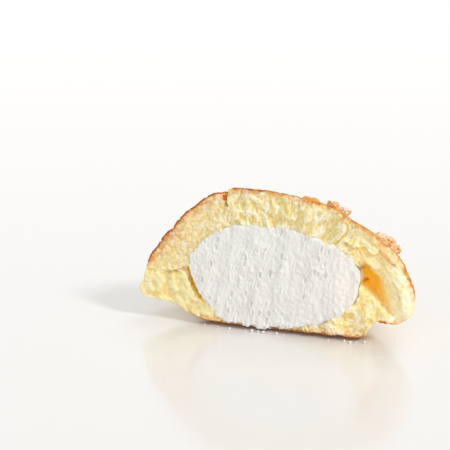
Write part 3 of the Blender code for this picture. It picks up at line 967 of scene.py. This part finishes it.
print("amber in linear light:", [round(c, 3) for c in hex_colour(AMBER)])

# %% [markdown]
# ## The colour of the crust
#
# The crust is the same sponge dried and caramelised, orange where thin and chestnut where the oven
# caught it, and pale low on the sides. Fine sugar settles on what faces up, in drifts, and falls
# out of the cracks. Its grains are a quarter of a millimetre or less, too fine to show here, so its
# specks are drawn 0.7 mm wide.

# %% Paint the crust and dust it
SUGAR_SPECK, SUGAR_DRIFT = 0.7, 5.0
LEVEL_FROM, LEVEL_TO = 0.2, 0.65


def crust_edge_colour(tree, place):
    """The crust's own thickness, chestnut on its outside and lighter towards the right."""
    return layered(
        tree,
        hex_colour("C06A26"),
        [
            (hex_colour("DE9A4C"), spots(tree, place, 2.2, 0.42, 0.62)),
            (hex_colour("86431A"), carried(tree, "depth", 0.75, 0.3), 0.85),
            (hex_colour("E8A846"), spots(tree, place, 3.0, 0.4, 0.55), carried(tree, "sunny")),
        ],
    )


def crust_colour(tree, place):
    """Orange to chestnut crust, pale sides and a dusting of sugar on what faces up."""
    mottled = spots(tree, place, 6.0, 0.35, 0.6)
    broken = spots(tree, place, 0.9, 0.42, 0.55)
    cloudy = spots(tree, place, 5.0, 0.3, 0.7)
    baked = layered(tree, hex_colour("C57F3C"), [(hex_colour("DC9E58"), mottled)])
    crag = layered(tree, hex_colour("C77F3E"), [(hex_colour("F3C890"), broken)])
    pale = layered(tree, hex_colour("F4DC9E"), [(hex_colour("FBEDC2"), cloudy)])
    normal = add(tree, "ShaderNodeNewGeometry", out="Normal")
    up = add(tree, "ShaderNodeSeparateXYZ", {0: normal}, out=2)
    flat = {"Value": up, "From Min": LEVEL_FROM, "From Max": LEVEL_TO}
    flat = add(tree, "ShaderNodeMapRange", flat)
    drifts = spots(tree, place, SUGAR_DRIFT, 0.42, 0.56, 6.0)
    grains = spots(tree, place, SUGAR_SPECK, 0.35, 0.6)
    baked = layered(
        tree,
        baked,
        [
            (crust_edge_colour(tree, place), carried(tree, "edge_on")),
            (crag, carried(tree, "craggy", 0.0, 0.6)),
            # painted shade on the underside near the cut, over its baked skin
            (hex_colour("A8560F"), carried(tree, "foot")),
            (hex_colour("F7EDE4"), flat, drifts, grains, carried(tree, "sugary")),
        ],
    )
    return layered(tree, pale, [(baked, carried(tree, "brown"))])


print("sugar lies in drifts of", SUGAR_DRIFT, "mm, in specks of", SUGAR_SPECK, "mm")

# %% [markdown]
# ## Sponge: pale crumb, brown skin, a dust of sugar
#
# Baked sponge is dull inside and out, so its roughness is high, and light goes about a millimetre
# into it, red furthest. How deep a point lies, shaken by a noise, decides between crust and crumb,
# and a brown stain fades out below the crust. Last come the toasted places, golden and then brown.

# %% The sponge material
SPONGE_FINISH = {
    "Roughness": 0.75,
    "IOR": 1.45,
    "Specular IOR Level": 0.25,
    "Subsurface Weight": 0.8,
    "Subsurface Radius": (1.0, 0.85, 0.65),
    "Subsurface Scale": 1.1 * MM,
}
WOBBLE_SIZE, WOBBLE_REACH = 1.2 * MM, 1.4
BUBBLE_SIZE, DENT_DEPTH = 0.7 * MM, 0.2 * MM


def castella_sponge():
    """Yolk-yellow crumb under a baked crust, dusted with fine sugar."""
    material, shader = new_material("castella_sponge", SPONGE_FINISH)
    tree = material.node_tree
    place = add(tree, "ShaderNodeTexCoord", out="Object")
    depth = add(tree, "ShaderNodeAttribute", attribute_name="depth", out=2)
    wobble = {"Vector": place, "Scale": 1.0 / WOBBLE_SIZE, "Detail": 3.0}
    wobble = add(tree, "ShaderNodeTexNoise", wobble)
    depth = add(tree, "ShaderNodeMath", {0: wobble, 1: WOBBLE_REACH, 2: depth}, operation="MULTIPLY_ADD")
    crumb = add(tree, "ShaderNodeMapRange", {"Value": depth, "From Min": 1.5, "From Max": 1.9})
    stain = add(tree, "ShaderNodeMapRange", {"Value": depth, "From Min": 5.6, "From Max": 2.0})
    patchy = spots(tree, place, 2.0, 0.38, 0.6)
    stained = [(hex_colour("DA9844"), stain, carried(tree, "brown"), patchy, 0.85)]
    colour = layered(
        tree,
        crust_colour(tree, place),
        [
            (layered(tree, crumb_colour(tree, place), stained), crumb),
            (hex_colour("EBA84C"), carried(tree, "toasted", 0.0, 0.5)),
            (hex_colour("B8651E"), carried(tree, "toasted", 0.4, 1.0)),
        ],
    )
    tree.links.new(colour, shader.inputs["Base Color"])
    bubbles = add(tree, "ShaderNodeTexVoronoi", {"Vector": place, "Scale": 1.0 / BUBBLE_SIZE})
    dents = add(tree, "ShaderNodeBump", {"Strength": 0.35, "Distance": DENT_DEPTH, "Height": bubbles})
    tree.links.new(dents, shader.inputs["Normal"])
    return material


run_tree(sponge, relief_tree(castella_sponge()), CRUMB_SIZES)
print("points of the sponge with its relief:", len(sponge.data.vertices))

# %% [markdown]
# ## Thinning where the surface is smooth
#
# The even net has far more points than the smooth walls behind the cream need. A Decimate modifier
# takes out the flattest places first, so the walls go and the torn crumb keeps its relief. It has
# no vertex group: with one that spared the cut, the back of this cake folded up into facets, so
# look at the back after a Decimate. The points that reach below the table after all that pushing
# are set back on it.

# %% Thin a piece and set it on the table
MOST_TRIANGLES = {"sponge": 195000, "cream": 150000}
SPARE_ROOM = np.array([[-1, -1, 0], [1, 1, 1]]) * MM
room = np.array([list(cad_box[0]), list(cad_box[1])]) + SPARE_ROOM


def triangles(piece):
    """How many triangles the piece has."""
    return sum(len(p.vertices) - 2 for p in piece.data.polygons)


def thinned(piece, most):
    """Collapses the flattest edges until the piece has that many triangles."""
    have = triangles(piece)
    modifier = piece.modifiers.new("thin", "DECIMATE")
    modifier.ratio = min(1.0, most / have)
    evaluated(piece)
    print(piece.name, "was thinned from", have, "triangles to", triangles(piece))


def kept_in_room(piece):
    """Sets the points that reach out of the room back on its walls, and says how far they were."""
    co = rows_of(piece.data.vertices, "co")
    inside = np.clip(co, *room)
    piece.data.vertices.foreach_set("co", inside.ravel())
    piece.data.shade_smooth()
    out = (np.abs(co - inside).max(axis=0) / MM).round(2)
    print(piece.name, "was set back in x, y and z by at most mm:", out.tolist())


def finish_piece(piece, node):
    """Thins the piece, keeps it inside its room and lets it stand for the node."""
    thinned(piece, MOST_TRIANGLES[node])
    kept_in_room(piece)
    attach(piece, "root")
    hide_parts(node)


finish_piece(sponge, "sponge")

# %% [markdown]
# ## The whipped cream
#
# Whipped cream is cut, not torn: the knife drags it into upright streaks that lean a little, opens
# small bubbles, and pulls the lower edge over the sponge in a ragged lip. It swells to meet the
# crumb near the cut, and its side swells too where the torn hollow lays it bare.

# %% Find the cream's cut face
LEAN = math.radians(12)
SWELL, HOLLOW_SWELL = 0.45, 0.7
STRETCH = 0.28
CREAM_SINKS = 0.3

spot, facing = points_of(cream.data)
sponge_place, _, sponge_away = nearest_on(solids["sponge"], cream.data)
reaching, wave = frayed(spot, spot - sponge_place, sponge_away)
x, y, z = spot.T
behind = SWELL * (1 + eased(y, 0.3, 1.2)) * closed(spot)
in_hollow = eased(x, 20.0, 26.0) * eased(y, 3.5, 6.0) * (1 - eased(y, 10.0, 13.0))
spot = reaching + facing * np.maximum(behind, HOLLOW_SWELL * in_hollow)[:, None] * FLAT
spot[:, 1] += CREAM_SINKS * np.maximum(wave, 0.0)
move_points(cream.data, spot)
x, y, z = spot.T
leaning = math.cos(LEAN) * x - math.sin(LEAN) * z
rising = math.sin(LEAN) * x + math.cos(LEAN) * z
cut_face = eased(-facing[:, 1], 0.25, 0.7) * (y < 2.5)
keep(
    cream.data,
    face=cut_face,
    near_cut=1 - eased(y, 0.8, 5.0),
    drag=np.stack([leaning, y, STRETCH * rising], axis=1) * MM,
    lip=(1 - eased(z, 2.2, 4.5)) * (y < 3.0) * eased(x, -30.0, -24.0) * (1 - eased(x, 4.0, 14.0)),
)
print("cream points on the cut:", int((cut_face > 0.5).sum()))

# %% [markdown]
# ## Drag marks and burst bubbles
#
# The drag marks get their own tree, which reads coordinates that lean with the knife. Streaks are
# stretched noise. Bubbles are sparse cells of a Voronoi pattern, sunk, drawn out along the drag
# and with a raised rim, and a second noise empties most cells, so they lie in loose groups.

# %% Streaks and bubbles
CREAM_SIZES = {
    "Streak Size": 1.1 * MM,
    "Streak Height": 0.65 * MM,
    "Swell Size": 4.5 * MM,
    "Swell Height": 0.65 * MM,
    "Bubble Size": 3.0 * MM,
    "Bubble Depth": 1.0 * MM,
    "Rim Height": 0.30 * MM,
    "Ragged Size": 1.8 * MM,
    "Ragged Reach": 0.25 * MM,
    "Lip Size": 2.6 * MM,
    "Lip Reach": 1.5 * MM,
}
GROUP_SIZE = 2.2 * MM
PIT, RIM = (0.84, 0.98), (0.66, 0.83)  # parts of a bubble's dome, from its edge to its middle


def drag_marks(tree, given, drag):
    """Streaks and swells along the drag."""
    total = 0.0
    for name, detail in (("Streak", 3.0), ("Swell", 1.0)):
        scale = add(tree, "ShaderNodeMath", {0: 1.0, 1: given[f"{name} Size"]}, operation="DIVIDE")
        noise = add(tree, "ShaderNodeTexNoise", {"Vector": drag, "Scale": scale, "Detail": detail})
        level = add(tree, "ShaderNodeMath", {0: noise, 1: MIDDLE}, operation="SUBTRACT")
        mark = {0: level, 1: given[f"{name} Height"], 2: total}
        total = add(tree, "ShaderNodeMath", mark, operation="MULTIPLY_ADD")
    return total


def bubbles(tree, given, drag):
    """How far the burst bubbles sink, and how strong each one is."""
    slim = add(tree, "ShaderNodeVectorMath", {0: drag, 1: (1.0, 1.0, 1.8)}, operation="MULTIPLY")
    bent = shaken(tree, drag, 2.0 * MM, 0.3 * MM)
    slim = add(tree, "ShaderNodeVectorMath", {0: slim, 1: bent}, operation="ADD")
    dome = domes(tree, slim, given["Bubble Size"])
    group = add(tree, "ShaderNodeTexNoise", {"Vector": drag, "Scale": 1.0 / GROUP_SIZE, "Detail": 1.0})
    group = add(tree, "ShaderNodeMapRange", {"Value": group, "From Min": 0.44, "From Max": 0.54})
    parts = []
    for low, high in (PIT, RIM):
        part = {"Value": dome, "From Min": low, "From Max": high}
        part = add(tree, "ShaderNodeMapRange", part, interpolation_type="SMOOTHSTEP")
        parts.append(add(tree, "ShaderNodeMath", {0: part, 1: group}, operation="MULTIPLY"))
    pit, rim = parts
    sunk = add(tree, "ShaderNodeMath", {0: pit, 1: given["Bubble Depth"]}, operation="MULTIPLY")
    raised = add(tree, "ShaderNodeMath", {0: rim, 1: given["Rim Height"]}, operation="MULTIPLY")
    return add(tree, "ShaderNodeMath", {0: sunk, 1: raised}, operation="SUBTRACT"), pit


print("drag sizes in mm:", {k: round(v / MM, 2) for k, v in CREAM_SIZES.items()})

# %% [markdown]
# ## The ragged lip
#
# At the lower edge the knife left the cream and pulled it down and a little forward. A noise cuts
# that smear into tongues. It is pushed in the same tree as the streaks, so both are read from the
# places where the cream was before either moved it.

# %% The tree that drags the cream
LIP_WAY = (0.0, -0.45, -1.0)


def lip_push(tree, given, place):
    """The smear that the knife pulled down and forward, in tongues along the lower edge."""
    lip = add(tree, "GeometryNodeInputNamedAttribute", {0: "lip"}, data_type="FLOAT")
    scale = add(tree, "ShaderNodeMath", {0: 1.0, 1: given["Lip Size"]}, operation="DIVIDE")
    noise = add(tree, "ShaderNodeTexNoise", {"Vector": place, "Scale": scale, "Detail": 3.0})
    tongue = {"Value": noise, "From Min": 0.42, "From Max": 0.66, "To Min": 0.2}
    tongue = add(tree, "ShaderNodeMapRange", tongue)
    reach = add(tree, "ShaderNodeMath", {0: given["Lip Reach"], 1: lip}, operation="MULTIPLY")
    reach = add(tree, "ShaderNodeMath", {0: reach, 1: tongue}, operation="MULTIPLY")
    return add(tree, "ShaderNodeVectorMath", {0: LIP_WAY, 3: reach}, operation="SCALE")


def drag_tree(material):
    """Streaks, bubbles and a ragged lip on the cut face of the cream."""
    tree, given = sized_tree("knife_dragged", CREAM_SIZES)
    place = add(tree, "GeometryNodeInputPosition")
    out = add(tree, "GeometryNodeInputNormal")
    face = add(tree, "GeometryNodeInputNamedAttribute", {0: "face"}, data_type="FLOAT")
    near = add(tree, "GeometryNodeInputNamedAttribute", {0: "near_cut"}, data_type="FLOAT")
    drag = add(tree, "GeometryNodeInputNamedAttribute", {0: "drag"}, data_type="FLOAT_VECTOR")
    marks = drag_marks(tree, given, drag)
    sunk, pit = bubbles(tree, given, drag)
    height = add(tree, "ShaderNodeMath", {0: marks, 1: sunk}, operation="SUBTRACT")
    rise = add(tree, "ShaderNodeMath", {0: height, 1: face}, operation="MULTIPLY")
    push = add(tree, "ShaderNodeVectorMath", {0: out, 3: rise}, operation="SCALE")
    reach = add(tree, "ShaderNodeMath", {0: given["Ragged Reach"], 1: near}, operation="MULTIPLY")
    for more in (shaken(tree, place, given["Ragged Size"], reach), lip_push(tree, given, place)):
        push = add(tree, "ShaderNodeVectorMath", {0: push, 1: more}, operation="ADD")
    # the pits' share, kept for the painted shade inside the bubbles
    seen = add(tree, "ShaderNodeMath", {0: pit, 1: face}, operation="MULTIPLY")
    noted = add(
        tree,
        "GeometryNodeStoreNamedAttribute",
        {0: given["Geometry"], "Name": "painted_pit_shade", "Value": seen},
        data_type="FLOAT",
        domain="POINT",
    )
    moved = add(tree, "GeometryNodeSetPosition", {0: noted, "Offset": push})
    return finish_tree(tree, moved, material)


print("the lip hangs by at most", round(CREAM_SIZES["Lip Reach"] / MM, 1), "mm")

# %% [markdown]
# ## Cream: soft white with a satin sheen
#
# Whipped cream scatters light inside, so its shadows are pale and a little warm. Its fat gives a
# broad sheen, so it is smoother than the sponge, and its froth breaks the sheen up. The bubbles of
# the froth are under a tenth of a millimetre, too fine to show, so they are drawn 0.6 mm wide.

# %% The cream material
CREAM_FINISH = {
    "Roughness": 0.42,
    "IOR": 1.45,
    "Specular IOR Level": 0.35,
    "Subsurface Weight": 0.25,
    "Subsurface Radius": (1.0, 0.95, 0.88),
    "Subsurface Scale": 0.5 * MM,
}
FROTH_SIZE, FROTH_DEPTH = 0.6 * MM, 0.3 * MM


def whipped_cream():
    """Dairy white with painted shade inside its bubbles, and a satin sheen from its fat."""
    material, shader = new_material("whipped_cream", CREAM_FINISH)
    tree = material.node_tree
    place = add(tree, "ShaderNodeTexCoord", out="Object")
    colour = layered(
        tree,
        hex_colour("EAE8E2"),
        [
            (hex_colour("F0EFEB"), spots(tree, place, 6.0, 0.3, 0.7)),
            # painted shade: greyer inside the bubbles
            (hex_colour("D6D3CC"), carried(tree, "painted_pit_shade"), 0.25),
        ],
    )
    tree.links.new(colour, shader.inputs["Base Color"])
    drag = add(tree, "ShaderNodeAttribute", attribute_name="drag", out=1)
    froth = add(tree, "ShaderNodeTexNoise", {"Vector": drag, "Scale": 1.0 / FROTH_SIZE, "Detail": 4.0})
    dents = add(tree, "ShaderNodeBump", {"Strength": 0.8, "Distance": FROTH_DEPTH, "Height": froth})
    tree.links.new(dents, shader.inputs["Normal"])
    return material


run_tree(cream, drag_tree(whipped_cream()), CREAM_SIZES)
finish_piece(cream, "cream")

# %% [markdown]
# ## Loose crumbs at the foot
#
# A cut cake sheds. A few grains of sponge and some flecks of cream lie on the table along the cut,
# where the knife left them. They could be modelled one by one, but all are the same small rough
# ball in other sizes: a point marks each one, a ball is set on every point, and a push by noise
# makes each of them different.

# %% Set the crumbs on the table
LOOSE = {  # x and y from the cut, and radius, in mm
    "sponge": (
        (-30.5, -0.6, 0.42),
        (-24.6, -1.6, 0.35),
        (12.5, -1.8, 0.30),
        (21.4, -1.2, 0.35),
        (27.9, -0.9, 0.50),
        (30.4, -1.9, 0.60),
        (32.6, -1.1, 0.42),
        (35.5, 0.4, 0.50),
        (37.6, -0.8, 0.36),
    ),
    "cream": (
        (-19.4, -1.9, 0.50),
        (-13.0, -1.4, 0.30),
        (-9.9, -1.9, 0.62),
        (-7.6, -1.2, 0.42),
        (-5.2, -1.9, 0.60),
        (0.3, -1.6, 0.50),
        (3.4, -2.1, 0.30),
    ),
}
BALL_SIZES = {"Ball Radius": 1.0 * MM, "Rough Size": 0.7 * MM, "Rough Reach": 0.22 * MM}
SETTLED = 0.9  # radii from the table to a crumb's middle
CRUMB_DEPTH = 5.0  # deep enough for the sponge material to show crumb and no crust


def ball_tree(name, material):
    """A rough little ball on every point, as wide as the point's own size says."""
    tree, given = sized_tree(name, BALL_SIZES)
    ball = add(tree, "GeometryNodeMeshIcoSphere", {"Radius": given["Ball Radius"], "Subdivisions": 2})
    size = add(tree, "GeometryNodeInputNamedAttribute", {0: "size"}, data_type="FLOAT")
    balls = {"Points": given["Geometry"], "Instance": ball, "Scale": size}
    real = add(tree, "GeometryNodeRealizeInstances", {0: add(tree, "GeometryNodeInstanceOnPoints", balls)})
    place = add(tree, "GeometryNodeInputPosition")
    push = shaken(tree, place, given["Rough Size"], given["Rough Reach"])
    moved = add(tree, "GeometryNodeSetPosition", {0: real, "Offset": push})
    noted = add(
        tree,
        "GeometryNodeStoreNamedAttribute",
        {0: moved, "Name": "depth", "Value": CRUMB_DEPTH},
        data_type="FLOAT",
        domain="POINT",
    )
    return finish_tree(tree, noted, material)


for node, shed in LOOSE.items():
    name = f"loose_{node}_crumbs"
    mesh = bpy.data.meshes.new(name)
    mesh.from_pydata([from_cut(x, y, TABLE + SETTLED * radius) for x, y, radius in shed], [], [])
    keep(mesh, size=[radius for _, _, radius in shed])
    crumbs = new_object(name, mesh)
    finish = (sponge if node == "sponge" else cream).data.materials[0]
    run_tree(crumbs, ball_tree(name, finish), BALL_SIZES)
    kept_in_room(crumbs)
    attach(crumbs, "root")
    print(name, "has", triangles(crumbs), "triangles")

# %% [markdown]
# ## Check the size
#
# The dressed cake has to fill the same box as the imported solids.

# %% Compare the sizes
sizes = {"cad": [list(corner) for corner in cad_box], "visual": [list(corner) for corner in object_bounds()]}
for corner in (0, 1):
    grown = [round((b - a) / MM, 2) for a, b in zip(sizes["cad"][corner], sizes["visual"][corner])]
    print("corner", corner, "moved by mm:", grown)
